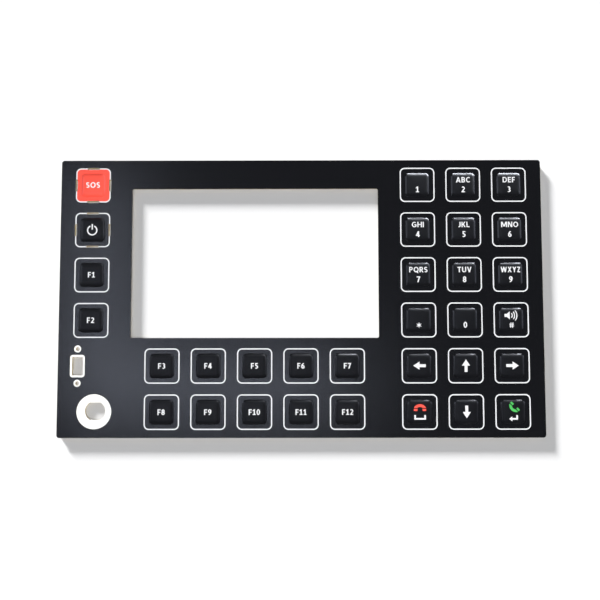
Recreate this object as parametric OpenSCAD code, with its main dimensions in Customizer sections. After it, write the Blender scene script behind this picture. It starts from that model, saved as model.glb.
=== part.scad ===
// Membrane keypad: an embossed film overlay with a display window, bonded through a spacer with snap
// domes to a rigid circuit board, with mounting adhesive and its release liner on the back.
// The origin is at the middle of the back face, +X right, +Y up the panel and +Z out of its front.

/* [Panel] */
// Width of the panel
panel_w = 210; // [204:1:230]
// Height of the panel
panel_h = 121; // [112:1:130]
// Radius of the panel's corners
panel_corner_r = 1.2; // [0.6:0.1:3]

/* [Display window] */
// Width of the display window
window_w = 107.5; // [90:0.5:114]
// Height of the display window
window_h = 65.4; // [50:0.2:70]
// Window's centre, right of the panel's centre
window_x = -20; // [-23:0.5:-17]
// Window's centre, above the panel's centre
window_y = 15.1; // [12:0.1:18]
// Radius of the window's corners
window_corner_r = 0.7; // [0.3:0.1:2]

/* [Keys] */
// Distance between key columns
key_pitch_x = 20; // [17:0.5:21]
// Distance from the panel's side to the outer key columns
key_edge = 14; // [10:0.5:16]
// Distance from the panel's top and bottom to the outer key rows
key_edge_y = 11; // [9:0.1:14]
// Width of an embossed key at its foot
key_size = 10.3; // [9.6:0.1:11.6]
// Radius of an embossed key's corners
key_corner_r = 1.5; // [0.8:0.1:2.5]
// Height of an embossed key above the film
key_height = 0.95; // [0.8:0.05:1.3]
// Radius of the shoulders round a key's top
key_shoulder_r = 2; // [1.6:0.1:3]
// Rise of the crowned top between its shoulders
key_crown = 0.12; // [0.05:0.01:0.2]

/* [Key outlines] */
// Width of a printed key outline
outline_size = 15.2; // [14:0.1:16.4]
// Width of the printed line
outline_stroke = 0.5; // [0.4:0.1:1]
// Outer radius of the outline's corners
outline_corner_r = 2.2; // [1.2:0.1:3]

/* [Guard slits] */
// Length of a guard slit
slit_len = 5.2; // [3:0.1:8]
// Width of a guard slit
slit_w = 0.95; // [0.6:0.05:1.4]

/* [Switch opening] */
// Distance from the panel's side to the switch opening's middle
switch_edge = 8.45; // [7:0.05:11]
// Width of the switch opening in the film
switch_w = 6.4; // [5:0.1:8]
// Height of the switch opening in the film
switch_h = 9.7; // [8:0.1:10.6]
// Radius of the switch opening's corners in the film
switch_corner_r = 1.2; // [0.9:0.1:2]
// Radius of the switch opening's corners in the layers behind
switch_inner_corner_r = 0.35; // [0.2:0.05:1]
// Distance between the two screw holes
switch_screw_pitch = 14.8; // [14.2:0.1:16]
// Diameter of the screw holes through the board
switch_screw_d = 1.7; // [1.2:0.1:2.2]
// Diameter of the film's holes round the screws
switch_screw_film_d = 3.1; // [2.6:0.1:3.4]

/* [Jack opening] */
// Distance from the panel's side to the jack opening's middle
jack_edge = 15.9; // [12:0.1:18]
// Height of the jack opening's middle above the bottom key row
jack_rise = 0.2; // [-2:0.1:2]
// Diameter of the jack opening in the film
jack_d = 15; // [13:0.5:17]
// Diameter of the flatted jack hole through the board
jack_hole_d = 8.65; // [7.5:0.05:9.5]
// Width of the jack hole across its flats
jack_hole_flats = 7.35; // [6.8:0.05:8.5]
// Jack hole's centre, right of the opening's centre
jack_hole_dx = 0.45; // [-1:0.05:1]
// Jack hole's centre, above the opening's centre
jack_hole_dy = 0.25; // [-1:0.05:1]

/* [Layers] */
// Thickness of the overlay film
film_t = 0.25; // [0.15:0.05:0.3]
// Thickness of the printed ink
ink_t = 0.03; // [0.02:0.01:0.06]
// Thickness of the adhesive under the overlay
overlay_adhesive_t = 0.1; // [0.05:0.05:0.25]
// Thickness of the spacer round the domes
spacer_t = 0.3; // [0.2:0.05:0.6]
// Thickness of the film that holds the domes
retainer_t = 0.08; // [0.05:0.01:0.12]
// Thickness of the circuit board
board_t = 1.6; // [0.8:0.1:2.4]
// Thickness of the mounting adhesive
rear_adhesive_t = 0.15; // [0.1:0.05:1]
// Thickness of the release liner
liner_t = 0.1; // [0.05:0.05:0.2]
// Set-back of the hidden layers behind the film's outer edge and window
edge_setback = 0.4; // [0.1:0.1:0.5]
// Rim of the white layers left showing in the small openings
layer_rim = 0.85; // [0.5:0.05:1]

/* [Domes] */
// Diameter of a snap dome
dome_d = 8.5; // [7.5:0.1:8.8]
// Height of a snap dome
dome_h = 0.8; // [0.6:0.05:0.9]
// Thickness of a dome's metal
dome_t = 0.1; // [0.06:0.01:0.15]
// Width of each of a dome's four feet
dome_foot_w = 2.4; // [1.6:0.1:3.2]
// Depth of the scallops between a dome's feet
dome_scallop = 0.9; // [0.7:0.05:1.2]
// Gap between a dome and the film that holds it
dome_clearance = 0.06; // [0.04:0.01:0.1]
// Gap between a held dome and its pocket's wall
pocket_clearance = 0.35; // [0.2:0.05:0.5]
// Width of the vent channels between pockets
vent_w = 1; // [0.6:0.1:2]

/* [Contacts] */
// Thickness of the plated copper
plating_t = 0.035; // [0.02:0.005:0.07]
// Diameter of the contact under a dome's middle
contact_d = 3; // [2:0.1:4]
// Width of the contact ring under a dome's feet
contact_ring_w = 0.9; // [0.6:0.1:1.2]
// Number of solder lands for the ribbon tail
tail_count = 16; // [8:1:20]
// Distance between solder lands
tail_pitch = 2; // [1.5:0.1:2.54]
// Width of a solder land
tail_land_w = 1.2; // [0.6:0.1:1.3]
// Length of a solder land
tail_land_len = 4; // [2:0.5:6]
// Bare board round the solder lands
tail_margin = 1.5; // [0.5:0.1:3]

/* [Hidden] */
$fn = 64;

// Heights of the layers, from the back
adhesive_z = liner_t;
board_z = adhesive_z + rear_adhesive_t;
retainer_z = board_z + board_t;
spacer_z = retainer_z + retainer_t;
overlay_adhesive_z = spacer_z + spacer_t;
film_z = overlay_adhesive_z + overlay_adhesive_t;
face_z = film_z + film_t;
dome_z = retainer_z + plating_t;

// Cuts reach this far past the layer they pass through
past = 1;

// Keys of the left column, of the two rows below the window and of the block on the right
left_names = ["emergency", "power", "f1", "f2"];
bottom_names = [["f3", "f4", "f5", "f6", "f7"], ["f8", "f9", "f10", "f11", "f12"]];
right_names = [
    ["1", "2", "3"],
    ["4", "5", "6"],
    ["7", "8", "9"],
    ["star", "0", "hash"],
    ["left", "up", "right"],
    ["hang_up", "down", "call"]
];

// The right block's rows set the rows of the whole panel, spread evenly over its height, and the
// bottom keys share the last of them
row_count = len(right_names);
right_columns = len(right_names[0]);
bottom_columns = len(bottom_names[0]);
first_bottom_row = row_count - len(bottom_names);
key_pitch_y = (panel_h - 2 * key_edge_y) / (row_count - 1);
left_x = -panel_w / 2 + key_edge;
function right_x(column) = panel_w / 2 - key_edge - (right_columns - 1 - column) * key_pitch_x;
function bottom_x(column) = window_x + (column - (bottom_columns - 1) / 2) * key_pitch_x;
function row_y(row) = ((row_count - 1) / 2 - row) * key_pitch_y;

// Each key as its name, x and y
left_keys = [for (r = [0:len(left_names) - 1]) [left_names[r], left_x, row_y(r)]];
bottom_keys = [
    for (r = [0:len(bottom_names) - 1], c = [0:bottom_columns - 1])
        [bottom_names[r][c], bottom_x(c), row_y(first_bottom_row + r)]
];
right_keys = [
    for (r = [0:row_count - 1], c = [0:right_columns - 1])
        [right_names[r][c], right_x(c), row_y(r)]
];
keys = concat(left_keys, bottom_keys, right_keys);
emergency_key = left_keys[0];
guarded_keys = [left_keys[0], left_keys[1]];

// Pockets joined by vent channels, as pairs of neighbouring keys
function row_pairs(list, columns) = [
    for (i = [0:len(list) - 2])
        if (i % columns != columns - 1)
            [list[i], list[i + 1]]
];
vented_pairs = concat(
    [[left_keys[2], left_keys[3]]],
    row_pairs(bottom_keys, bottom_columns),
    row_pairs(right_keys, right_columns)
);

// Centres of the small openings
switch_x = -panel_w / 2 + switch_edge;
switch_y = row_y(first_bottom_row);
jack_x = -panel_w / 2 + jack_edge;
jack_y = row_y(row_count - 1) + jack_rise;

// Section of an embossed key: shoulder arcs tangent to a crown arc
shoulder_z = key_height - key_crown - key_shoulder_r;
shoulder_x = key_size / 2 - sqrt(pow(key_shoulder_r, 2) - pow(shoulder_z, 2));
crown_drop = key_height - shoulder_z;
crown_r = (pow(shoulder_x, 2) + pow(crown_drop, 2) - pow(key_shoulder_r, 2))
    / (2 * (crown_drop - key_shoulder_r));
crown_z = key_height - crown_r;
crown_angle = asin(shoulder_x / (crown_r - key_shoulder_r));

// The dome is a spherical cap, and the retainer and pocket follow it
dome_r = (pow(dome_d / 2, 2) + pow(dome_h, 2)) / (2 * dome_h);
dome_centre_z = dome_z + dome_h - dome_r;
held_r = dome_r + dome_clearance;
retainer_r = held_r + retainer_t;
pocket_d = 2 * sqrt(pow(retainer_r, 2) - pow(retainer_z - dome_centre_z, 2)) + 2 * pocket_clearance;

// The overlay adhesive is open round each key's foot
key_opening = max(key_size, pocket_d) + 2 * pocket_clearance;

// The ribbon tail's lands lie behind the space between the two bottom key rows
tail_x = window_x;
tail_y = (row_y(first_bottom_row) + row_y(row_count - 1)) / 2;
tail_window_w = (tail_count - 1) * tail_pitch + tail_land_w + 2 * tail_margin;
tail_window_h = tail_land_len + 2 * tail_margin;

layer_names = [
    "graphic_overlay",
    "key_outline_print",
    "emergency_print",
    "overlay_adhesive",
    "dome_spacer",
    "dome_retainer",
    "key_contacts",
    "circuit_board",
    "tail_lands",
    "rear_adhesive",
    "release_liner"
];

// Rounded rectangle about the origin
module rounded_rect(w, h, r) {
    square([w - 2 * r, h], center = true);
    square([w, h - 2 * r], center = true);
    for (x = [-1, 1], y = [-1, 1])
        translate([x * (w / 2 - r), y * (h / 2 - r)])
            circle(r);
}

// Places its children at each key of a list
module at_keys(list) {
    for (key = list)
        translate([key[1], key[2]])
            children();
}

// Four guard slits round a key, centred on its printed outline
module guard_slits() {
    for (turn = [0:90:270])
        rotate(turn)
            translate([(outline_size - outline_stroke) / 2, 0])
                square([slit_w, slit_len], center = true);
}

// Panel outline with its window and guard slits, set back from the film's edges
module panel_outline(setback) {
    difference() {
        rounded_rect(panel_w - 2 * setback, panel_h - 2 * setback, panel_corner_r);
        translate([window_x, window_y])
            rounded_rect(window_w + 2 * setback, window_h + 2 * setback, window_corner_r);
        at_keys(guarded_keys)
            guard_slits();
    }
}

// Switch opening with its two screw holes, inset from the film's opening
module switch_cut(inset, corner_r, screw_d) {
    translate([switch_x, switch_y]) {
        rounded_rect(switch_w - 2 * inset, switch_h - 2 * inset, corner_r);
        for (side = [-1, 1])
            translate([0, side * switch_screw_pitch / 2])
                circle(d = screw_d);
    }
}

// Round jack opening, inset from the film's opening
module jack_cut(inset) {
    translate([jack_x, jack_y])
        circle(d = jack_d - 2 * inset);
}

// Jack hole with two flats
module jack_hole_cut() {
    translate([jack_x + jack_hole_dx, jack_y + jack_hole_dy])
        intersection() {
            circle(d = jack_hole_d);
            square([jack_hole_d, jack_hole_flats], center = true);
        }
}

// Opening over the solder lands
module tail_cut() {
    translate([tail_x, tail_y])
        square([tail_window_w, tail_window_h], center = true);
}

// Half of an embossed key's section above a base line, its surface moved out by grow
module key_half_section(grow, base) {
    top = key_height + past;
    side = key_size / 2 + past;
    parting_x = shoulder_x + (base - shoulder_z) * tan(crown_angle);
    parting_top_x = shoulder_x + (top - shoulder_z) * tan(crown_angle);
    intersection() {
        translate([0, crown_z])
            circle(crown_r + grow);
        polygon([[0, base], [parting_x, base], [parting_top_x, top], [0, top]]);
    }
    intersection() {
        translate([shoulder_x, shoulder_z])
            circle(key_shoulder_r + grow);
        polygon([[parting_x, base], [side, base], [side, top], [parting_top_x, top]]);
    }
}

// Embossed key above a base line: two crossed arches in a rounded square
module key_form(grow, base) {
    intersection() {
        intersection_for(turn = [0, 90])
            rotate([90, 0, turn])
                linear_extrude(2 * key_size, center = true) {
                    key_half_section(grow, base);
                    mirror([1, 0])
                        key_half_section(grow, base);
                }
        translate([0, 0, base])
            linear_extrude(key_height + past - base)
                rounded_rect(key_size + 2 * grow, key_size + 2 * grow, key_corner_r + grow);
    }
}

// One flat layer of the laminate: its outline is given by the children
module layer(z, t) {
    translate([0, 0, z])
        linear_extrude(t)
            children();
}

// Outline of the layers behind the spacer, open for the switch and its screws
module backed_outline() {
    difference() {
        panel_outline(edge_setback);
        switch_cut(layer_rim, switch_inner_corner_r, switch_screw_d);
        children();
    }
}

module graphic_overlay() {
    color("#17171b")
        difference() {
            union() {
                layer(film_z, film_t)
                    difference() {
                        panel_outline(0);
                        switch_cut(0, switch_corner_r, switch_screw_film_d);
                        jack_cut(0);
                    }
                translate([0, 0, face_z])
                    at_keys(keys)
                        key_form(0, -film_t / 2);
            }
            translate([0, 0, face_z])
                at_keys(keys)
                    key_form(-film_t, -film_t - past);
        }
}

module key_outline_print() {
    inner_size = outline_size - 2 * outline_stroke;
    color("#f2f2f2")
        layer(face_z, ink_t)
            difference() {
                at_keys(keys)
                    difference() {
                        rounded_rect(outline_size, outline_size, outline_corner_r);
                        rounded_rect(inner_size, inner_size, outline_corner_r - outline_stroke);
                    }
                at_keys(guarded_keys)
                    guard_slits();
            }
}

module emergency_print() {
    field_size = outline_size - 2 * outline_stroke;
    color("#f4503f")
        translate([0, 0, face_z])
            at_keys([emergency_key])
                difference() {
                    union() {
                        linear_extrude(ink_t)
                            difference() {
                                rounded_rect(field_size, field_size, outline_corner_r - outline_stroke);
                                guard_slits();
                            }
                        key_form(ink_t, 0);
                    }
                    key_form(0, -past);
                }
}

module overlay_adhesive() {
    color("#dcd8c8")
        layer(overlay_adhesive_z, overlay_adhesive_t)
            difference() {
                panel_outline(edge_setback);
                switch_cut(0, switch_corner_r, switch_screw_film_d);
                jack_cut(0);
                at_keys(keys)
                    rounded_rect(key_opening, key_opening, key_corner_r);
            }
}

module dome_spacer() {
    color("#f4f4f0")
        layer(spacer_z, spacer_t)
            backed_outline() {
                jack_cut(layer_rim);
                at_keys(keys)
                    circle(d = pocket_d);
                for (pair = vented_pairs)
                    vent_channel(pair[0], pair[1]);
            }
}

// Vent channel between the pockets of two neighbouring keys
module vent_channel(key_a, key_b) {
    run_x = abs(key_b[1] - key_a[1]);
    run_y = abs(key_b[2] - key_a[2]);
    translate([(key_a[1] + key_b[1]) / 2, (key_a[2] + key_b[2]) / 2])
        square([max(run_x, vent_w), max(run_y, vent_w)], center = true);
}

module dome_retainer() {
    color("#dfe6ea")
        difference() {
            union() {
                layer(retainer_z, retainer_t)
                    backed_outline()
                        jack_cut(layer_rim);
                at_keys(keys)
                    dome_cap(retainer_r, retainer_z);
            }
            at_keys(keys)
                translate([0, 0, dome_centre_z])
                    sphere(held_r);
        }
}

// Spherical cap about a dome's centre of curvature, cut off at a base height
module dome_cap(r, base) {
    intersection() {
        translate([0, 0, dome_centre_z])
            sphere(r);
        translate([0, 0, base])
            cylinder(d = pocket_d, h = dome_h + past);
    }
}

// Four-legged snap dome: a spherical cap with a scallop in each side
module snap_dome(key) {
    scallop_angle = 45 - asin(dome_foot_w / dome_d);
    chord_x = dome_d / 2 * cos(scallop_angle);
    half_chord = dome_d / 2 * sin(scallop_angle);
    apex_x = dome_d / 2 - dome_scallop;
    sagitta = chord_x - apex_x;
    scallop_r = (pow(half_chord, 2) + pow(sagitta, 2)) / (2 * sagitta);
    color("#c9ccd0")
        at_keys([key])
            difference() {
                dome_cap(dome_r, dome_z);
                translate([0, 0, dome_centre_z])
                    sphere(dome_r - dome_t);
                for (turn = [0:90:270])
                    rotate(turn)
                        translate([apex_x + scallop_r, 0, dome_z - past])
                            cylinder(r = scallop_r, h = dome_h + 2 * past);
            }
}

module key_contacts() {
    color("#d9b23c")
        layer(retainer_z, plating_t)
            at_keys(keys) {
                circle(d = contact_d);
                difference() {
                    circle(d = dome_d);
                    circle(d = dome_d - 2 * contact_ring_w);
                }
            }
}

module circuit_board() {
    color("#efece2")
        layer(board_z, board_t)
            backed_outline()
                jack_hole_cut();
}

module tail_lands() {
    color("#d9b23c")
        layer(board_z - plating_t, plating_t)
            for (i = [0:tail_count - 1])
                translate([tail_x + (i - (tail_count - 1) / 2) * tail_pitch, tail_y])
                    square([tail_land_w, tail_land_len], center = true);
}

module rear_adhesive() {
    color("#d6cfae")
        layer(adhesive_z, rear_adhesive_t)
            backed_outline() {
                jack_hole_cut();
                tail_cut();
            }
}

module release_liner() {
    color("#e6d9b8")
        layer(0, liner_t)
            backed_outline() {
                jack_hole_cut();
                tail_cut();
            }
}

graphic_overlay();
key_outline_print();
emergency_print();
overlay_adhesive();
dome_spacer();
dome_retainer();
key_contacts();
circuit_board();
tail_lands();
rear_adhesive();
release_liner();
for (key = keys)
    snap_dome(key);
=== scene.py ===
"""Looks of a membrane keypad: a satin black overlay with crowned keys, screen-printed outlines and
legends, and the white board layers that show in its small openings, lying on a pale studio floor."""

import logging
import math
from collections.abc import Callable, Mapping, Sequence
from dataclasses import dataclass, field
from enum import Enum
from functools import partial

import bmesh
import bpy
import numpy as np
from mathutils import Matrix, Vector
from mathutils.geometry import delaunay_2d_cdt


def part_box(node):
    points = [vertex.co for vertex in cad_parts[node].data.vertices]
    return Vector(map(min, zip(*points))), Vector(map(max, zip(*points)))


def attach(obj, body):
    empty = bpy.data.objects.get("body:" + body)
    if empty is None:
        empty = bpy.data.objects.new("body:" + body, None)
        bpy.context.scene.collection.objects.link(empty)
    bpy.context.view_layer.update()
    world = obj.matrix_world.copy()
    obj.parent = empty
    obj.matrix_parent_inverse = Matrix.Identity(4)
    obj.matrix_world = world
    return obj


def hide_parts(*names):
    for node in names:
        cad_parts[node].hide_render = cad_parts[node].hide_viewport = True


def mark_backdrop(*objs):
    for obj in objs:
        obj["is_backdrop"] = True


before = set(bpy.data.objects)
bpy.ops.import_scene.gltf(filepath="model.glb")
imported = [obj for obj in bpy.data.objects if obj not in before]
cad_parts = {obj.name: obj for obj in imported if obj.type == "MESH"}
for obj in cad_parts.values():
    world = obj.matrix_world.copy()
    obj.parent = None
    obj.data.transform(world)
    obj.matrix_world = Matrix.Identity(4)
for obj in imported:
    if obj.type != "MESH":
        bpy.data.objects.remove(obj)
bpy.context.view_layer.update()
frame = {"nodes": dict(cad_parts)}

MM = 0.001
BODY = "root"
IMAGE_WIDTH = 600
SENSOR_WIDTH = 36.0
# Finer octaves of each noise
FINER_OCTAVES = 2.0
# Sockets of a Mix node for colours: its factor, its two colours and its result
MIX_FACTOR, MIX_FIRST, MIX_SECOND, MIX_RESULT = 0, 6, 7, 2
# Points of an outline closer than this, in millimetres, are one
SHEET_GAP = 1e-7
SHAPE_GAP = 1e-5
log = logging.getLogger("keypad")

Point = tuple[float, float]
Shape = list[list[Point]]
Inputs = Mapping[str | int, object]


class InkColour(Enum):
    """Colours of ink printed on the overlay."""

    WHITE = "white"
    RED = "red"
    GREEN = "green"


class Turn(Enum):
    """Quarter turns of an arrow that points right, in degrees."""

    RIGHT = 0
    UP = 90
    LEFT = 180
    DOWN = 270


class Filling(Enum):
    """Triangles that a triangulation keeps."""

    HULL = 0
    INSIDE = 1


class Reach(Enum):
    """What a linked lamp lights, as the state of the floor in its list of receivers."""

    FLOOR_ONLY = "INCLUDE"
    ALL_BUT_FLOOR = "EXCLUDE"


def linear(hex_colour: str) -> tuple[float, float, float, float]:
    """Turns an sRGB hex colour into linear values.

    Args:
        hex_colour: Colour as #rrggbb.

    Returns:
        Linear red, green and blue, with an alpha of 1.
    """
    parts = [int(hex_colour[i:i + 2], 16) / 255 for i in (1, 3, 5)]
    levels = [p / 12.92 if p <= 0.04045 else ((p + 0.055) / 1.055) ** 2.4 for p in parts]
    return (levels[0], levels[1], levels[2], 1.0)


def feed(tree: bpy.types.NodeTree, node: bpy.types.Node, inputs: Inputs) -> None:
    """Sets a node's inputs.

    Args:
        tree: Tree of the node.
        node: The node.
        inputs: Values, or sockets to link from, for each input's name or number.
    """
    for key, value in inputs.items():
        if isinstance(value, bpy.types.NodeSocket):
            tree.links.new(value, node.inputs[key])
        else:
            node.inputs[key].default_value = value


def add_node(
    tree: bpy.types.NodeTree,
    kind: str,
    settings: Mapping[str, object] | None = None,
    inputs: Inputs | None = None,
) -> bpy.types.Node:
    """Adds a node with its settings and links.

    Args:
        tree: Tree that the node goes into.
        kind: Node type.
        settings: Properties of the node.
        inputs: Values, or sockets to link from, for each input's name or number.

    Returns:
        The new node.
    """
    node = tree.nodes.new(kind)
    for name, value in (settings or {}).items():
        setattr(node, name, value)
    feed(tree, node, inputs or {})
    return node


def per_mm(size_mm: float) -> float:
    """Texture scale in Object coordinates, in metres, for features of a size in millimetres."""
    return 1.0 / (size_mm * MM)


@dataclass(frozen=True)
class Finish:
    """A surface finish, which makes one material."""

    name: str

    def material(self) -> bpy.types.Material:
        """Makes the finish's material.

        Returns:
            The new material.
        """
        material = bpy.data.materials.new(self.name)
        material.use_nodes = True
        tree = material.node_tree
        feed(tree, tree.nodes["Principled BSDF"], self.surface(tree))
        return material

    def surface(self, tree: bpy.types.NodeTree) -> Inputs:
        """Values and sockets for the shader's inputs: each finish has its own."""
        raise NotImplementedError

    def speckle(self, tree: bpy.types.NodeTree, size_mm: float) -> bpy.types.NodeSocket:
        """Uneven pattern of a real size, fixed to the piece.

        Args:
            tree: Tree of the material.
            size_mm: Size of the pattern's features.

        Returns:
            The pattern's level as a socket.
        """
        place = add_node(tree, "ShaderNodeTexCoord").outputs["Object"]
        inputs: Inputs = {"Vector": place, "Scale": per_mm(size_mm), "Detail": FINER_OCTAVES}
        return add_node(tree, "ShaderNodeTexNoise", None, inputs).outputs["Fac"]

    def mottle(
        self, tree: bpy.types.NodeTree, colours: tuple[str, str], size_mm: float
    ) -> bpy.types.NodeSocket:
        """Blends two colours by an uneven pattern.

        Args:
            tree: Tree of the material.
            colours: The two sRGB hex colours.
            size_mm: Size of the pattern's features.

        Returns:
            The blended colour as a socket.
        """
        first, second = (linear(colour) for colour in colours)
        mix = add_node(
            tree, "ShaderNodeMix", {"data_type": "RGBA"},
            {MIX_FACTOR: self.speckle(tree, size_mm), MIX_FIRST: first, MIX_SECOND: second},
        )
        return mix.outputs[MIX_RESULT]

    def grain(
        self, tree: bpy.types.NodeTree, size_mm: float, depth_mm: float,
        under: bpy.types.NodeSocket | None = None,
    ) -> bpy.types.NodeSocket:
        """Fine relief of a real size and depth.

        Args:
            tree: Tree of the material.
            size_mm: Size of the relief's features.
            depth_mm: Height of the relief.
            under: Normal of a coarser relief that this one lies on.

        Returns:
            The bumped normal as a socket.
        """
        height = self.speckle(tree, size_mm)
        inputs: dict[str | int, object] = {"Height": height, "Distance": depth_mm * MM}
        if under is not None:
            inputs["Normal"] = under
        return add_node(tree, "ShaderNodeBump", None, inputs).outputs["Normal"]


@dataclass(frozen=True)
class SatinPolyester(Finish):
    """Black reverse-printed polyester: a deep black under a satin texture that spreads each highlight
    over the flat film, and a coarser one on the stretched keys, which stay darker and softer."""

    name: str = "satin_polyester_film"
    colour: str = "#07080d"
    deep_colour: str = "#05060a"
    cloud_mm: float = 6.0
    film_roughness: float = 0.21
    key_roughness: float = 0.46
    ior: float = 1.5
    # The real texture is about 0.05 mm, drawn coarser so that it shows
    grain_mm: float = 0.3
    grain_depth_mm: float = 0.0025
    # Slow waves that laminating leaves in the film
    ripple_mm: float = 38.0
    ripple_depth_mm: float = 0.06
    # Heights in metres between which the film's texture turns into the keys'
    texture_from: float = 0.0
    texture_to: float = 1.0

    def surface(self, tree: bpy.types.NodeTree) -> Inputs:
        """Black film with its two roughnesses.

        Args:
            tree: Tree of the material.

        Returns:
            Values and sockets for the shader's inputs.
        """
        place = add_node(tree, "ShaderNodeTexCoord").outputs["Object"]
        height = add_node(tree, "ShaderNodeSeparateXYZ", None, {"Vector": place}).outputs["Z"]
        roughness = add_node(
            tree, "ShaderNodeMapRange", {"interpolation_type": "SMOOTHSTEP"},
            {"Value": height, "From Min": self.texture_from, "From Max": self.texture_to,
             "To Min": self.film_roughness, "To Max": self.key_roughness},
        )
        ripple = self.grain(tree, self.ripple_mm, self.ripple_depth_mm)
        return {
            "Base Color": self.mottle(tree, (self.colour, self.deep_colour), self.cloud_mm),
            "Roughness": roughness.outputs["Result"],
            "Normal": self.grain(tree, self.grain_mm, self.grain_depth_mm, ripple),
            "IOR": self.ior,
        }


@dataclass(frozen=True)
class GrainedFinish(Finish):
    """One substance whose two close colours and fine relief share a grain."""

    colour: str
    second_colour: str
    roughness: float
    grain_mm: float
    grain_depth_mm: float
    metallic: float = 0.0
    transmission: float = 0.0

    def surface(self, tree: bpy.types.NodeTree) -> Inputs:
        """Colours and relief on the same grain.

        Args:
            tree: Tree of the material.

        Returns:
            Values and sockets for the shader's inputs.
        """
        return {
            "Base Color": self.mottle(tree, (self.colour, self.second_colour), self.grain_mm),
            "Normal": self.grain(tree, self.grain_mm, self.grain_depth_mm),
            "Roughness": self.roughness,
            "Metallic": self.metallic,
            "Transmission Weight": self.transmission,
        }


@dataclass(frozen=True)
class ScreenInk(GrainedFinish):
    """Screen-printed ink: an even opaque coat that keeps a faint trace of the mesh it came through."""

    roughness: float = 0.42
    # The real mesh is about 0.08 mm, drawn coarser so that it shows
    grain_mm: float = 0.25
    grain_depth_mm: float = 0.003


@dataclass(frozen=True)
class SheetPlastic(GrainedFinish):
    """Extruded polyester or cast adhesive sheet: smooth, softly glossy and faintly cloudy."""

    roughness: float = 0.38
    grain_mm: float = 3.0
    grain_depth_mm: float = 0.01


@dataclass(frozen=True)
class CoatedGlassEpoxy(Finish):
    """White-coated glass-epoxy board: a smooth white lacquer on its faces, and tan routed edges where
    the plies of glass cloth show as fine bands."""

    name: str = "coated_glass_epoxy"
    lacquer: str = "#f7f6f2"
    lacquer_shade: str = "#efeee8"
    lacquer_mm: float = 2.0
    lacquer_roughness: float = 0.35
    edge_light: str = "#e9dfc2"
    edge_dark: str = "#bfa670"
    edge_roughness: float = 0.75
    # Spacing of the plies in the edge, and how far they stray
    ply_mm: float = 0.2
    ply_waver: float = 3.0
    grain_mm: float = 0.6
    grain_depth_mm: float = 0.006
    # A face is where the normal's upright part is larger than this
    face_limit: float = 0.7

    def surface(self, tree: bpy.types.NodeTree) -> Inputs:
        """Lacquered faces and bare edges.

        Args:
            tree: Tree of the material.

        Returns:
            Values and sockets for the shader's inputs.
        """
        given = add_node(tree, "ShaderNodeTexCoord").outputs
        facing = add_node(tree, "ShaderNodeSeparateXYZ", None, {"Vector": given["Normal"]}).outputs["Z"]
        upright = add_node(tree, "ShaderNodeMath", {"operation": "ABSOLUTE"}, {0: facing}).outputs[0]
        is_face = add_node(
            tree, "ShaderNodeMath", {"operation": "GREATER_THAN"}, {0: upright, 1: self.face_limit}
        ).outputs[0]
        plies = add_node(
            tree, "ShaderNodeTexWave", {"bands_direction": "Z"},
            {"Vector": given["Object"], "Scale": per_mm(self.ply_mm) / math.tau,
             "Distortion": self.ply_waver, "Detail": FINER_OCTAVES},
        )
        edge = add_node(
            tree, "ShaderNodeMix", {"data_type": "RGBA"},
            {MIX_FACTOR: plies.outputs["Fac"], MIX_FIRST: linear(self.edge_dark),
             MIX_SECOND: linear(self.edge_light)},
        )
        face = self.mottle(tree, (self.lacquer, self.lacquer_shade), self.lacquer_mm)
        colour = add_node(
            tree, "ShaderNodeMix", {"data_type": "RGBA"},
            {MIX_FACTOR: is_face, MIX_FIRST: edge.outputs[MIX_RESULT], MIX_SECOND: face},
        )
        roughness = add_node(
            tree, "ShaderNodeMapRange", None,
            {"Value": is_face, "To Min": self.edge_roughness, "To Max": self.lacquer_roughness},
        )
        return {
            "Base Color": colour.outputs[MIX_RESULT],
            "Roughness": roughness.outputs["Result"],
            "Normal": self.grain(tree, self.grain_mm, self.grain_depth_mm),
        }


@dataclass(frozen=True)
class PlatedMetal(GrainedFinish):
    """Plated or rolled metal: bright, with a fine grain that breaks up its reflections."""

    roughness: float = 0.3
    grain_mm: float = 0.15
    grain_depth_mm: float = 0.002
    metallic: float = 1.0


@dataclass(frozen=True)
class LinerPaper(Finish):
    """Silicone-coated kraft liner: a smooth straw paper in which long fibres lie as paler streaks."""

    name: str = "kraft_liner_paper"
    colour: str = "#d9c391"
    fibre_colour: str = "#ecdcb6"
    # Fibres are long and thin: their length runs along the web
    fibre_len_mm: float = 4.0
    fibre_width_mm: float = 0.35
    fibre_depth_mm: float = 0.01
    fibre_octaves: float = 4.0
    roughness: float = 0.5

    def surface(self, tree: bpy.types.NodeTree) -> Inputs:
        """Paper with its fibres.

        Args:
            tree: Tree of the material.

        Returns:
            Values and sockets for the shader's inputs.
        """
        stretch = self.fibre_width_mm / self.fibre_len_mm
        place = add_node(tree, "ShaderNodeTexCoord").outputs["Object"]
        mapping = add_node(
            tree, "ShaderNodeMapping", None, {"Vector": place, "Scale": (stretch, 1.0, 1.0)}
        )
        fibres = add_node(
            tree, "ShaderNodeTexNoise", None,
            {"Vector": mapping.outputs["Vector"], "Scale": per_mm(self.fibre_width_mm),
             "Detail": self.fibre_octaves},
        ).outputs["Fac"]
        colour = add_node(
            tree, "ShaderNodeMix", {"data_type": "RGBA"},
            {MIX_FACTOR: fibres, MIX_FIRST: linear(self.colour), MIX_SECOND: linear(self.fibre_colour)},
        )
        bump = add_node(
            tree, "ShaderNodeBump", None, {"Height": fibres, "Distance": self.fibre_depth_mm * MM}
        )
        return {
            "Base Color": colour.outputs[MIX_RESULT],
            "Normal": bump.outputs["Normal"],
            "Roughness": self.roughness,
        }


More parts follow.
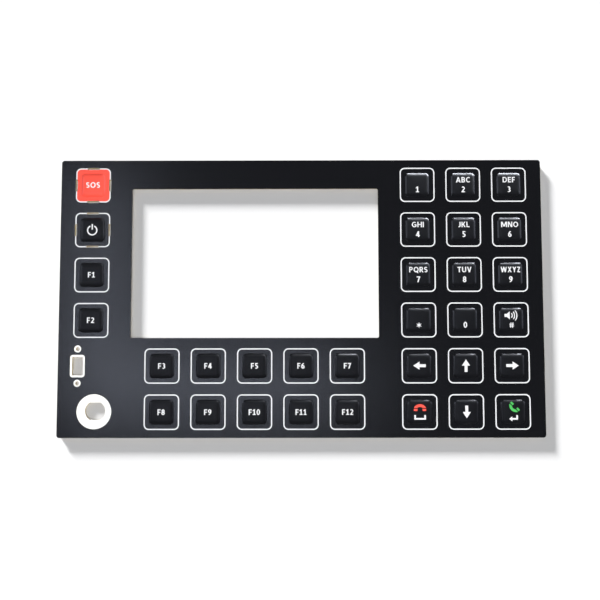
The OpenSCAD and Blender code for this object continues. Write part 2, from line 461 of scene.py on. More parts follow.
def square_loop(half: float, radius: float, corner_steps: int, marks: Sequence[Point]) -> np.ndarray:
    """Rounded square about the origin, anticlockwise.

    Args:
        half: Half of the square's width.
        radius: Radius of its corners.
        corner_steps: Steps in each corner's arc.
        marks: Further points of each side, as its distance along the side and its inset.

    Returns:
        The loop's points, as an array of x and y.
    """
    straight = half - radius
    quarter = [(half, -straight)]
    quarter += [(half - inset, along) for along, inset in marks]
    quarter.append((half, straight))
    for step in range(1, corner_steps):
        angle = math.radians(90 * step / corner_steps)
        quarter.append((straight + radius * math.cos(angle), straight + radius * math.sin(angle)))
    points = np.array(quarter)
    turns = [points]
    for _ in range(3):
        points = np.stack((-points[:, 1], points[:, 0]), axis=1)
        turns.append(points)
    return np.concatenate(turns)


def rect_loop(centre: Point, width: float, height: float, radius: float, corner_steps: int) -> np.ndarray:
    """Rounded rectangle, anticlockwise.

    Args:
        centre: Its centre.
        width: Its width.
        height: Its height.
        radius: Radius of its corners, or 0.
        corner_steps: Steps in each corner's arc.

    Returns:
        The loop's points, as an array of x and y.
    """
    points = []
    for quadrant, (sx, sy) in enumerate(((1, 1), (-1, 1), (-1, -1), (1, -1))):
        x = centre[0] + sx * (width / 2 - radius)
        y = centre[1] + sy * (height / 2 - radius)
        for step in range(corner_steps + 1 if radius else 1):
            angle = math.radians(90 * (quadrant + step / corner_steps))
            points.append((x + radius * math.cos(angle), y + radius * math.sin(angle)))
    return np.array(points)


def round_loop(centre: Point, diameter: float, quarter_steps: int) -> np.ndarray:
    """Circle, anticlockwise, with steps for each quarter."""
    return rect_loop(centre, diameter, diameter, diameter / 2, quarter_steps)


def inside(points: np.ndarray, loop: np.ndarray) -> np.ndarray:
    """Tells which points lie inside a closed loop.

    Args:
        points: Points as an array of x and y.
        loop: The loop's points.

    Returns:
        A truth value for each point.
    """
    x, y = points[:, 0], points[:, 1]
    result = np.zeros(len(points), bool)
    for (ax, ay), (bx, by) in zip(loop, np.roll(loop, -1, axis=0)):
        crosses = (ay > y) != (by > y)
        if ay != by:
            result ^= crosses & (x < ax + (y - ay) * (bx - ax) / (by - ay))
    return result


def loft(rings: Sequence[np.ndarray], closed_centre: bool) -> tuple[np.ndarray, list[tuple[int, ...]]]:
    """Joins rings of points, from the outermost in, with faces that point up.

    Args:
        rings: Rings with equally many points, as arrays of x, y and z.
        closed_centre: Whether a last point closes the innermost ring.

    Returns:
        The points and the faces.
    """
    count = len(rings[0])
    points = list(rings)
    faces: list[tuple[int, ...]] = []
    for ring in range(len(rings) - 1):
        for i in range(count):
            j = (i + 1) % count
            outer, inner = ring * count, (ring + 1) * count
            faces.append((outer + i, outer + j, inner + j, inner + i))
    if closed_centre:
        last = (len(rings) - 1) * count
        points.append(rings[-1].mean(axis=0, keepdims=True))
        faces += [(last + i, last + (i + 1) % count, last + count) for i in range(count)]
    return np.concatenate(points), faces


def new_object(name: str, data: bpy.types.ID) -> bpy.types.Object:
    """Links a new object at the origin.

    Args:
        name: Name of the object.
        data: Its lamp, camera or mesh, a mesh being placed in the row's frame.

    Returns:
        The object.
    """
    obj = bpy.data.objects.new(name, data)
    bpy.context.scene.collection.objects.link(obj)
    return obj


def mesh_of(name: str, points_mm: np.ndarray, faces: Sequence[Sequence[int]]) -> bpy.types.Mesh:
    """Makes a mesh from points in millimetres.

    Args:
        name: Name of the mesh.
        points_mm: Points as an array of x, y and z.
        faces: Corners of each face.

    Returns:
        The mesh, in metres.
    """
    mesh = bpy.data.meshes.new(name)
    mesh.from_pydata((np.asarray(points_mm) * MM).tolist(), [], [list(f) for f in faces])
    return mesh


def evaluated_mesh(obj: bpy.types.Object) -> bpy.types.Mesh:
    """Plain mesh of an object with its modifiers applied."""
    graph = bpy.context.evaluated_depsgraph_get()
    return bpy.data.meshes.new_from_object(obj.evaluated_get(graph), depsgraph=graph)


def thickened(name: str, mesh: bpy.types.Mesh, thickness_mm: float, side: int) -> bpy.types.Object:
    """Gives a surface a thickness.

    Args:
        name: Name of the new object.
        mesh: The surface.
        thickness_mm: Thickness of the wall.
        side: -1 to grow under the surface, 1 to grow over it.

    Returns:
        The closed piece, with no modifier left on it.
    """
    surface = new_object(name, mesh)
    solidify = surface.modifiers.new("wall", "SOLIDIFY")
    solidify.thickness = thickness_mm * MM
    solidify.offset = side
    solidify.use_even_offset = True
    solid = evaluated_mesh(surface)
    bpy.data.objects.remove(surface)
    return new_object(name, solid)


def merged(name: str, meshes: Sequence[bpy.types.Mesh], gap_mm: float = 0.001) -> bpy.types.Mesh:
    """Joins meshes and closes the seams between them.

    Args:
        name: Name of the new mesh.
        meshes: The meshes to join.
        gap_mm: Points closer than this become one.

    Returns:
        The joined mesh.
    """
    bm = bmesh.new()
    for mesh in meshes:
        bm.from_mesh(mesh)
    bmesh.ops.remove_doubles(bm, verts=bm.verts, dist=gap_mm * MM)
    joined = bpy.data.meshes.new(name)
    bm.to_mesh(joined)
    bm.free()
    return joined


def smooth(obj: bpy.types.Object, crease_deg: float = 40.0) -> None:
    """Shades an object smooth, except across edges sharper than an angle."""
    obj.data.shade_smooth()
    obj.data.set_sharp_from_angle(angle=math.radians(crease_deg))


def dress(
    obj: bpy.types.Object, material: bpy.types.Material, slot: str | None, *nodes: str
) -> bpy.types.Object:
    """Gives a new piece its material and body, and hides the CAD nodes that it stands for.

    Args:
        obj: The piece.
        material: Its material.
        slot: Material slot of the record, or None if the record has none for it; not used.
        nodes: CAD nodes that it replaces.

    Returns:
        The same piece.
    """
    obj.data.materials.clear()
    obj.data.materials.append(material)
    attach(obj, BODY)
    if nodes:
        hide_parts(*nodes)
    log.info("%s: %d faces", obj.name, len(obj.data.polygons))
    return obj


@dataclass(frozen=True)
class KeyForm:
    """Form of one embossed key, in millimetres about its centre: scaled rounded squares that rise from
    a small foot fillet over a round shoulder to a crowned top."""

    size: float = 10.3
    corner_r: float = 1.5
    height: float = 0.95
    shoulder_r: float = 2.0
    crown: float = 0.12
    foot_r: float = 0.3
    corner_steps: int = 6
    side_steps: int = 5
    foot_rings: int = 4
    shoulder_rings: int = 9
    crown_rings: int = 6
    smallest_ring: float = 0.4
    # Flat film that each key's patch takes with it, so that the sheet round it stays flat in the light
    apron: float = 0.15

    @property
    def corner_share(self) -> float:
        """Corner radius as a share of half the key's width."""
        return self.corner_r / (self.size / 2)

    @property
    def shoulder_z(self) -> float:
        """Height of the shoulder arc's centre."""
        return self.height - self.crown - self.shoulder_r

    @property
    def shoulder_x(self) -> float:
        """Distance of the shoulder arc's centre from the key's middle."""
        return self.size / 2 - math.sqrt(self.shoulder_r ** 2 - self.shoulder_z ** 2)

    @property
    def crown_r(self) -> float:
        """Radius of the crowned top, tangent to the shoulders."""
        drop = self.height - self.shoulder_z
        return (self.shoulder_x ** 2 + drop ** 2 - self.shoulder_r ** 2) / (2 * (drop - self.shoulder_r))

    @property
    def crown_end(self) -> float:
        """Distance at which the crown meets the shoulder."""
        return self.shoulder_x * self.crown_r / (self.crown_r - self.shoulder_r)

    @property
    def foot_x(self) -> float:
        """Distance at which the foot fillet meets the flat film."""
        reach = self.shoulder_r + self.foot_r
        return self.shoulder_x + math.sqrt(reach ** 2 - (self.foot_r - self.shoulder_z) ** 2)

    @property
    def foot_end(self) -> float:
        """Distance at which the foot fillet meets the shoulder."""
        share = self.shoulder_r / (self.shoulder_r + self.foot_r)
        return self.shoulder_x + (self.foot_x - self.shoulder_x) * share

    @property
    def patch_edge(self) -> float:
        """Distance at which the key's patch meets the sheet."""
        return self.foot_x + self.apron

    def rise(self, ring: np.ndarray | float) -> np.ndarray:
        """Height of the film over its face.

        Args:
            ring: Half-widths of the rounded squares that the points lie on.

        Returns:
            The height at each of them.
        """
        s = np.asarray(ring, float)
        crown = self.height - self.crown_r + np.sqrt(np.maximum(self.crown_r ** 2 - s ** 2, 0))
        bow = np.maximum(self.shoulder_r ** 2 - (s - self.shoulder_x) ** 2, 0)
        foot = self.foot_r - np.sqrt(np.maximum(self.foot_r ** 2 - (self.foot_x - s) ** 2, 0))
        steps = [s >= self.foot_x, s >= self.foot_end, s >= self.crown_end]
        return np.select(steps, [np.zeros_like(s), foot, self.shoulder_z + np.sqrt(bow)], crown)

    def ring_through(self, x: np.ndarray, y: np.ndarray) -> np.ndarray:
        """Half-width of the rounded square that passes through each point.

        Args:
            x: Places across the key.
            y: Places up the key.

        Returns:
            The half-widths.
        """
        a, b = np.abs(x), np.abs(y)
        k = self.corner_share
        m = 1 - k
        # In a corner the half-width solves a quadratic, from the distance to the arc's centre
        lead = 2 * m * m - k * k
        root = np.sqrt(np.maximum((m * (a + b)) ** 2 - lead * (a * a + b * b), 0))
        corner = (m * (a + b) - root) / lead
        side = np.maximum(a, b)
        return np.where(np.minimum(a, b) > m * side, corner, side)

    def height_at(self, x: np.ndarray, y: np.ndarray) -> np.ndarray:
        """Height of the film over its face at places on the key."""
        return self.rise(self.ring_through(x, y))

    def loop(self, half: float) -> np.ndarray:
        """Rounded square of the key's own proportions, with evenly divided sides.

        Args:
            half: Half of its width.

        Returns:
            Its points, as an array of x and y.
        """
        radius = half * self.corner_share
        run = half - radius
        marks = [(run * (2 * i / self.side_steps - 1), 0.0) for i in range(1, self.side_steps)]
        return square_loop(half, radius, self.corner_steps, marks)

    def ring_sizes(self) -> list[float]:
        """Half-widths of the rings that the key is built on, from its foot in.

        Returns:
            The half-widths.
        """
        foot = np.linspace(self.foot_x, self.foot_end, self.foot_rings)
        shoulder = np.linspace(self.foot_end, self.crown_end, self.shoulder_rings)[1:]
        crown = np.linspace(self.crown_end, self.smallest_ring, self.crown_rings)[1:]
        return [float(s) for s in np.concatenate(([self.patch_edge], foot, shoulder, crown))]

    def pillow(self) -> bpy.types.Mesh:
        """Surface of one key about the origin.

        Returns:
            The mesh, from the patch's outer edge in.
        """
        rings = []
        for half in self.ring_sizes():
            loop = self.loop(half)
            rings.append(np.column_stack((loop, np.full(len(loop), float(self.rise(half))))))
        points, faces = loft(rings, closed_centre=True)
        points[-1, 2] = self.height
        return mesh_of("key_pillow", points, faces)


@dataclass(frozen=True)
class KeyArray:
    """Geometry Nodes tree that repeats one pattern at each key of a list."""

    name: str = "key_array"

    def tree(self) -> tuple[bpy.types.NodeTree, dict[str, str]]:
        """Builds the tree.

        Returns:
            The tree, and each named input's identifier.
        """
        tree = bpy.data.node_groups.new(self.name, "GeometryNodeTree")
        tree.is_modifier = True
        face = tree.interface
        face.new_socket("Geometry", in_out="OUTPUT", socket_type="NodeSocketGeometry")
        kinds = {
            "Key centres": "NodeSocketGeometry",
            "Pattern": "NodeSocketObject",
            "Rise": "NodeSocketFloat",
            "Finish": "NodeSocketMaterial",
        }
        names = {
            name: face.new_socket(name, in_out="INPUT", socket_type=kind).identifier
            for name, kind in kinds.items()
        }
        given = add_node(tree, "NodeGroupInput").outputs
        pattern = add_node(tree, "GeometryNodeObjectInfo", None, {"Object": given["Pattern"]})
        lift = add_node(tree, "ShaderNodeCombineXYZ", None, {"Z": given["Rise"]})
        raised = add_node(
            tree, "GeometryNodeTransform", None,
            {"Geometry": pattern.outputs["Geometry"], "Translation": lift.outputs["Vector"]},
        )
        copies = add_node(
            tree, "GeometryNodeInstanceOnPoints", None,
            {"Points": given["Key centres"], "Instance": raised.outputs["Geometry"]},
        )
        real = add_node(tree, "GeometryNodeRealizeInstances", None, {"Geometry": copies.outputs["Instances"]})
        dressed = add_node(
            tree, "GeometryNodeSetMaterial", None,
            {"Geometry": real.outputs["Geometry"], "Material": given["Finish"]},
        )
        add_node(tree, "NodeGroupOutput", None, {"Geometry": dressed.outputs["Geometry"]})
        return tree, names

    def repeat(
        self, pattern: bpy.types.Mesh, centres_mm: Sequence[Point], rise_mm: float,
        material: bpy.types.Material,
    ) -> bpy.types.Mesh:
        """Repeats a pattern at each key centre.

        Args:
            pattern: Mesh of one copy, about the origin.
            centres_mm: Centres of the keys.
            rise_mm: Height that the copies are raised to.
            material: Material of the copies.

        Returns:
            One plain mesh with all the copies.
        """
        tree, names = self.tree()
        points = bpy.data.meshes.new("key_centres")
        points.from_pydata([(x * MM, y * MM, 0.0) for x, y in centres_mm], [], [])
        carrier = new_object("key_centres", points)
        original = new_object("key_pattern", pattern)
        modifier = carrier.modifiers.new("copies", "NODES")
        modifier.node_group = tree
        modifier[names["Pattern"]] = original
        modifier[names["Rise"]] = rise_mm * MM
        modifier[names["Finish"]] = material
        result = evaluated_mesh(carrier)
        for helper in (carrier, original):
            bpy.data.objects.remove(helper)
        bpy.data.node_groups.remove(tree)
        return result


class Layout:
    """Where the keys and layers are, read from the frame, in millimetres."""

    LEFT = ("emergency", "power", "f1", "f2")
    BOTTOM = tuple(f"f{number}" for number in range(3, 13))
    RIGHT = tuple("123456789") + ("star", "0", "hash", "left", "up", "right", "hang_up", "down", "call")
    GUARDED = ("emergency", "power")

    def __init__(self) -> None:
        """Reads the key centres from the domes and the panel from the overlay and its print."""
        self.names = self.LEFT + self.BOTTOM + self.RIGHT
        self.centre: dict[str, Point] = {}
        for name in self.names:
            low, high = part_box(f"dome_{name}")
            self.centre[name] = ((low.x + high.x) / 2 / MM, (low.y + high.y) / 2 / MM)
        low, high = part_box("graphic_overlay")
        self.panel_w = (high.x - low.x) / MM
        self.panel_h = (high.y - low.y) / MM
        self.film_z = low.z / MM
        ink_low, ink_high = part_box("key_outline_print")
        self.face_z = ink_low.z / MM
        self.ink_t = (ink_high.z - ink_low.z) / MM

    def centres(self, names: Sequence[str]) -> list[Point]:
        """Centres of the keys named."""
        return [self.centre[name] for name in names]


@dataclass(frozen=True)
class GuardSlit:
    """The slits on the four sides of a guarded key, in millimetres."""

    # Distance of each slit's middle from the key's
    reach: float = 7.35
    length: float = 5.2
    width: float = 0.95

    @property
    def inner(self) -> float:
        """Distance of a slit's inner side from the key's middle."""
        return self.reach - self.width / 2


@dataclass
class Overlay:
    """The embossed graphic overlay: one film with its openings and 32 keys, in millimetres."""

    layout: Layout
    key: KeyForm
    corner_r: float = 1.2
    window_w: float = 107.5
    window_h: float = 65.4
    window_x: float = -20.0
    window_y: float = 15.1
    window_corner_r: float = 0.7
    slit: GuardSlit = GuardSlit()
    switch_edge: float = 8.45
    switch_w: float = 6.4
    switch_h: float = 9.7
    switch_corner_r: float = 1.2
    screw_pitch: float = 14.8
    screw_film_d: float = 3.1
    jack_edge: float = 15.9
    jack_rise: float = 0.2
    jack_d: float = 15.0
    # Steps in each quarter of the arcs
    panel_steps: int = 8
    window_steps: int = 6
    switch_steps: int = 8
    screw_steps: int = 10
    jack_steps: int = 24
    # Shares of a key's height between which the film's texture turns into the keys'
    texture_span: tuple[float, float] = (0.1, 0.6)

    def finish(self) -> SatinPolyester:
        """Finish of the film, whose texture changes up the keys' sides."""
        low, high = ((self.layout.face_z + share * self.key.height) * MM for share in self.texture_span)
        return SatinPolyester(texture_from=low, texture_to=high)

    def openings(self) -> list[np.ndarray]:
        """Loops of the openings through the film.

        Returns:
            The window, switch, screw, jack and slit loops.
        """
        row_a = self.layout.centre["f3"][1]
        row_b = self.layout.centre["f8"][1]
        side = -self.layout.panel_w / 2
        switch = (side + self.switch_edge, row_a)
        jack = (side + self.jack_edge, row_b + self.jack_rise)
        window = (self.window_x, self.window_y)
        loops = [
            rect_loop(window, self.window_w, self.window_h, self.window_corner_r, self.window_steps),
            rect_loop(switch, self.switch_w, self.switch_h, self.switch_corner_r, self.switch_steps),
            round_loop(jack, self.jack_d, self.jack_steps),
        ]
        for end in (-1, 1):
            screw = (switch[0], switch[1] + end * self.screw_pitch / 2)
            loops.append(round_loop(screw, self.screw_film_d, self.screw_steps))
        slit = self.slit
        for x, y in self.layout.centres(Layout.GUARDED):
            for end in (-1, 1):
                loops.append(rect_loop((x + end * slit.reach, y), slit.width, slit.length, 0, 1))
                loops.append(rect_loop((x, y + end * slit.reach), slit.length, slit.width, 0, 1))
        return loops

    def sheet(self) -> bpy.types.Mesh:
        """Flat film between its edge, its openings and the feet of the keys.

        Returns:
            The mesh of the film's face.
        """
        outer = rect_loop((0, 0), self.layout.panel_w, self.layout.panel_h, self.corner_r, self.panel_steps)
        foot = self.key.loop(self.key.patch_edge)
        holes = self.openings() + [foot + np.array(c) for c in self.layout.centres(self.layout.names)]
        loops = [outer] + holes
        edges: list[tuple[int, int]] = []
        start = 0
        for loop in loops:
            count = len(loop)
            edges += [(start + i, start + (i + 1) % count) for i in range(count)]
            start += count
        points = [Vector(p) for p in np.concatenate(loops)]
        found, _, triangles, *_ = delaunay_2d_cdt(points, edges, [], Filling.INSIDE.value, SHEET_GAP)
        flat = np.array(found)
        faces = np.array(triangles)
        middle = flat[faces].mean(axis=1)
        kept = inside(middle, outer)
        for hole in holes:
            kept &= ~inside(middle, hole)
        solid = np.column_stack((flat, np.full(len(flat), self.layout.face_z)))
        return mesh_of("film_sheet", solid, faces[kept].tolist())

    def build(self, array: KeyArray, material: bpy.types.Material) -> bpy.types.Object:
        """Builds the film with its keys and gives it its thickness.

        Args:
            array: Tree that repeats the keys.
            material: The film's material.

        Returns:
            The film.
        """
        centres = self.layout.centres(self.layout.names)
        keys = array.repeat(self.key.pillow(), centres, self.layout.face_z, material)
        surface = merged("graphic_film", [self.sheet(), keys])
        film = thickened("graphic_film", surface, self.layout.face_z - self.layout.film_z, -1)
        smooth(film)
        return film


@dataclass
class Outlines:
    """Printed outlines round the keys, in millimetres."""

    layout: Layout
    size: float = 15.2
    stroke: float = 0.5
    corner_r: float = 2.2
    slit: GuardSlit = GuardSlit()
    corner_steps: int = 8

    def ring(self, cut: bool) -> bpy.types.Mesh:
        """One outline about the origin.

        Args:
            cut: Whether the guard slits cut through its four sides.

        Returns:
            A closed mesh of the printed line.
        """
        end = self.slit.length / 2
        marks = [(-end, 0.0), (end, 0.0)]
        outer = square_loop(self.size / 2, self.corner_r, self.corner_steps, marks)
        inner_half = self.size / 2 - self.stroke
        inner = square_loop(inner_half, self.corner_r - self.stroke, self.corner_steps, marks)
        count = len(outer)
        low, high = np.zeros((count, 1)), np.full((count, 1), self.layout.ink_t)
        points = np.concatenate([
            np.hstack(pair) for pair in ((outer, high), (inner, high), (inner, low), (outer, low))
        ])
        per_side = count // 4
        gaps = {side * per_side + 1 for side in range(4)} if cut else set()
        faces: list[tuple[int, ...]] = []
        for i in range(count):
            j = (i + 1) % count
            if i in gaps:
                faces.append(tuple(layer * count + i for layer in (0, 1, 2, 3)))
                faces.append(tuple(layer * count + j for layer in (3, 2, 1, 0)))
                continue
            for layer in range(4):
                after = (layer + 1) % 4
                faces.append((layer * count + i, layer * count + j, after * count + j, after * count + i))
        return mesh_of("outline_ring", points, faces)

    def build(self, array: KeyArray, material: bpy.types.Material) -> bpy.types.Object:
        """Repeats the outlines at their keys.

        Args:
            array: Tree that repeats them.
            material: The ink's material.

        Returns:
            All the outlines as one piece.
        """
        plain = [name for name in self.layout.names if name not in Layout.GUARDED]
        parts = []
        for cut, names in ((False, plain), (True, Layout.GUARDED)):
            centres = self.layout.centres(names)
            parts.append(array.repeat(self.ring(cut), centres, self.layout.face_z, material))
        return new_object("key_outlines", merged("key_outlines", parts))


@dataclass
class EmergencyField:
    """Red field printed inside the emergency key's outline and over the key, in millimetres."""

    layout: Layout
    key: KeyForm
    size: float = 14.2
    corner_r: float = 1.7
    slit: GuardSlit = GuardSlit()
    edge_rings: int = 3
    # Points on each side of the inner rings, as shares of half a slit's length
    side_shares: tuple[float, ...] = (-1.0, -0.85, 0.0, 0.85, 1.0)

    def build(self) -> bpy.types.Object:
        """Drapes the field over the film.

        Returns:
            The printed field, as thick as the ink.
        """
        half = self.size / 2
        end = self.slit.length / 2
        notch = half - self.slit.inner
        outer_marks = [(-end, 0.0), (-end, notch), (0.0, notch), (end, notch), (end, 0.0)]
        loops = [square_loop(half, self.corner_r, self.key.corner_steps, outer_marks)]
        sizes = list(np.linspace(self.slit.inner - notch, self.key.patch_edge, self.edge_rings))
        sizes += self.key.ring_sizes()[1:]
        for s in sizes:
            reach = end * s / half
            marks = [(reach * share, 0.0) for share in self.side_shares]
            loops.append(square_loop(s, s * self.key.corner_share, self.key.corner_steps, marks))
        heights = [0.0] + [float(self.key.rise(s)) for s in sizes]
        rings = [np.column_stack((loop, np.full(len(loop), h))) for loop, h in zip(loops, heights)]
        points, faces = loft(rings, closed_centre=True)
        points[-1, 2] = self.key.height
        points += np.array((*self.layout.centre["emergency"], self.layout.face_z))
        name = "emergency_field"
        printed = thickened(name, mesh_of(name, points, faces), self.layout.ink_t, 1)
        smooth(printed)
        return printed


def arc_points(centre: Point, radius: float, start: float, end: float, steps: int) -> list[Point]:
    """Points along an arc.

    Args:
        centre: Centre of the arc.
        radius: Its radius.
        start: First angle in degrees.
        end: Last angle in degrees.
        steps: Steps between them.

    Returns:
        The points, ends included.
    """
    angles = [math.radians(start + (end - start) * i / steps) for i in range(steps + 1)]
    return [(centre[0] + radius * math.cos(a), centre[1] + radius * math.sin(a)) for a in angles]


def arc_band(centre: Point, radius: float, stroke: float, start: float, end: float) -> list[Point]:
    """Outline of a stroked arc.

    Args:
        centre: Centre of the arc.
        radius: Radius of the stroke's middle.
        stroke: Width of the stroke.
        start: First angle in degrees.
        end: Last angle in degrees.

    Returns:
        The outline's points.
    """
    fewest, step_deg = 6, 7.0
    steps = max(fewest, int(abs(end - start) / step_deg))
    outer = arc_points(centre, radius + stroke / 2, start, end, steps)
    return outer + arc_points(centre, radius - stroke / 2, end, start, steps)


def box_outline(low: Point, high: Point) -> list[Point]:
    """Outline of an upright rectangle."""
    return [low, (high[0], low[1]), high, (low[0], high[1])]


def turned(shape: Shape, degrees: float, scale: float = 1.0) -> Shape:
    """Turns and scales a shape about the origin."""
    c, s = math.cos(math.radians(degrees)) * scale, math.sin(math.radians(degrees)) * scale
    return [[(x * c - y * s, x * s + y * c) for x, y in outline] for outline in shape]


class Symbols:
    """Generic key symbols, each as outlines in millimetres about its own centre."""

    @staticmethod
    def arrow(turn: Turn) -> Shape:
        """Solid arrow.

        Args:
            turn: Where it points.

        Returns:
            Its outline.
        """
        length, head, half_head, half_shaft = 5.4, 2.7, 1.75, 0.62
        tip, neck = length / 2, length / 2 - head
        outline = [
            (-tip, -half_shaft), (neck, -half_shaft), (neck, -half_head), (tip, 0.0),
            (neck, half_head), (neck, half_shaft), (-tip, half_shaft),
        ]
        return turned([outline], turn.value)

    @staticmethod
    def power() -> Shape:
        """Open ring with an upright bar in its gap.

        Returns:
            The outlines of the two.
        """
        radius, ring_y, bar_top, stroke, gap = 2.0, -0.25, 2.5, 0.55, 26.0
        ring = arc_band((0.0, ring_y), radius, stroke, 90 + gap, 450 - gap)
        return [ring, box_outline((-stroke / 2, 0.0), (stroke / 2, bar_top))]

    @staticmethod
    def handset() -> Shape:
        """Telephone handset lying face down: a bowed grip over two pads.

        Returns:
            The outlines of the grip and the pads.
        """
        half, grip_low, pad_in = 2.65, -0.2, 1.1
        bow_y, bow_r, hollow_y, hollow_r = -1.65, 3.02, -1.6, 1.78
        pad_x, pad_half, pad_low, pad_high = 1.87, 0.78, -1.5, -0.6
        bow_from, bow_steps, hollow_from, hollow_steps = 150.0, 14, 52.0, 8
        bow = arc_points((0.0, bow_y), bow_r, bow_from, 180 - bow_from, bow_steps)
        hollow = arc_points((0.0, hollow_y), hollow_r, hollow_from, 180 - hollow_from, hollow_steps)
        right, left = [(half, grip_low), (pad_in, grip_low)], [(-pad_in, grip_low), (-half, grip_low)]
        pads = [box_outline((x - pad_half, pad_low), (x + pad_half, pad_high)) for x in (-pad_x, pad_x)]
        return [bow + right + hollow + left] + pads

    @staticmethod
    def space() -> Shape:
        """Flat bracket of the space key.

        Returns:
            Its outline.
        """
        half, top, stroke = 2.5, 1.0, 0.72
        return [[
            (-half, top), (-half, -top), (half, -top), (half, top),
            (half - stroke, top), (half - stroke, stroke - top), (stroke - half, stroke - top),
            (stroke - half, top),
        ]]

    @staticmethod
    def enter() -> Shape:
        """Return arrow: a bent shaft with its head at the left.

        Returns:
            Its outline.
        """
        tip, neck, right, top = -1.85, -0.55, 1.85, 1.2
        level, half_shaft, half_head = -0.35, 0.36, 1.1
        inner = right - 2 * half_shaft
        return [[
            (tip, level), (neck, level + half_head), (neck, level + half_shaft),
            (inner, level + half_shaft), (inner, top), (right, top), (right, level - half_shaft),
            (neck, level - half_shaft), (neck, level - half_head),
        ]]

    @staticmethod
    def speaker() -> Shape:
        """Loudspeaker with three waves.

        Returns:
            The outlines of the body and the waves.
        """
        back, throat, mouth, small, large = -3.0, -2.1, -0.75, 0.65, 1.75
        wave_x, wave_stroke, spread = -1.3, 0.42, 38.0
        body = [
            (back, -small), (throat, -small), (mouth, -large), (mouth, large), (throat, small), (back, small),
        ]
        radii = (1.6, 2.6, 3.6)
        return [body] + [arc_band((wave_x, 0.0), r, wave_stroke, -spread, spread) for r in radii]

    @staticmethod
    def number_sign() -> Shape:
        """Two leaning strokes over two level ones.

        Returns:
            The outlines of the strokes.
        """
        size, lean, half, half_width, bar_y, feet = 2.3, 0.1, 0.5, 0.42, 0.17, (-0.23, 0.13)
        light = LegendFont(stem=0.15, hair=0.14)
        upright = [light.leg((x, -half), (x + lean, half)) for x in feet]
        level = [light.bar(-half_width, half_width, y) for y in (-bar_y, bar_y)]
        return turned(upright + level, 0.0, size)

    @staticmethod
    def star() -> Shape:
        """Six-armed star.

        Returns:
            Its outline.
        """
        outer, inner, arms = 1.35, 0.48, 6
        points = []
        for i in range(2 * arms):
            radius = inner if i % 2 else outer
            angle = math.radians(90 + 180 * i / arms)
            points.append((radius * math.cos(angle), radius * math.sin(angle)))
        return [points]


def filled(shape: Shape) -> bmesh.types.BMesh:
    """Fills the outlines of a shape, with those that overlap joined into one surface.

    Args:
        shape: The outlines.

    Returns:
        A flat mesh that faces up.
    """
    points: list[Vector] = []
    faces: list[list[int]] = []
    for outline in shape:
        x, y = np.array(outline).T
        area = np.sum(x * np.roll(y, -1) - y * np.roll(x, -1))
        loop = outline if area > 0 else outline[::-1]
        faces.append(list(range(len(points), len(points) + len(loop))))
        points += [Vector(p) for p in loop]
    found, _, triangles, _, _, sources = delaunay_2d_cdt(points, [], faces, Filling.HULL.value, SHAPE_GAP)
    bm = bmesh.new()
    verts = [bm.verts.new((v.x, v.y, 0.0)) for v in found]
    for triangle, source in zip(triangles, sources):
        if source:
            bm.faces.new([verts[i] for i in triangle])
    bmesh.ops.delete(bm, geom=[v for v in verts if not v.link_faces], context="VERTS")
    return bm


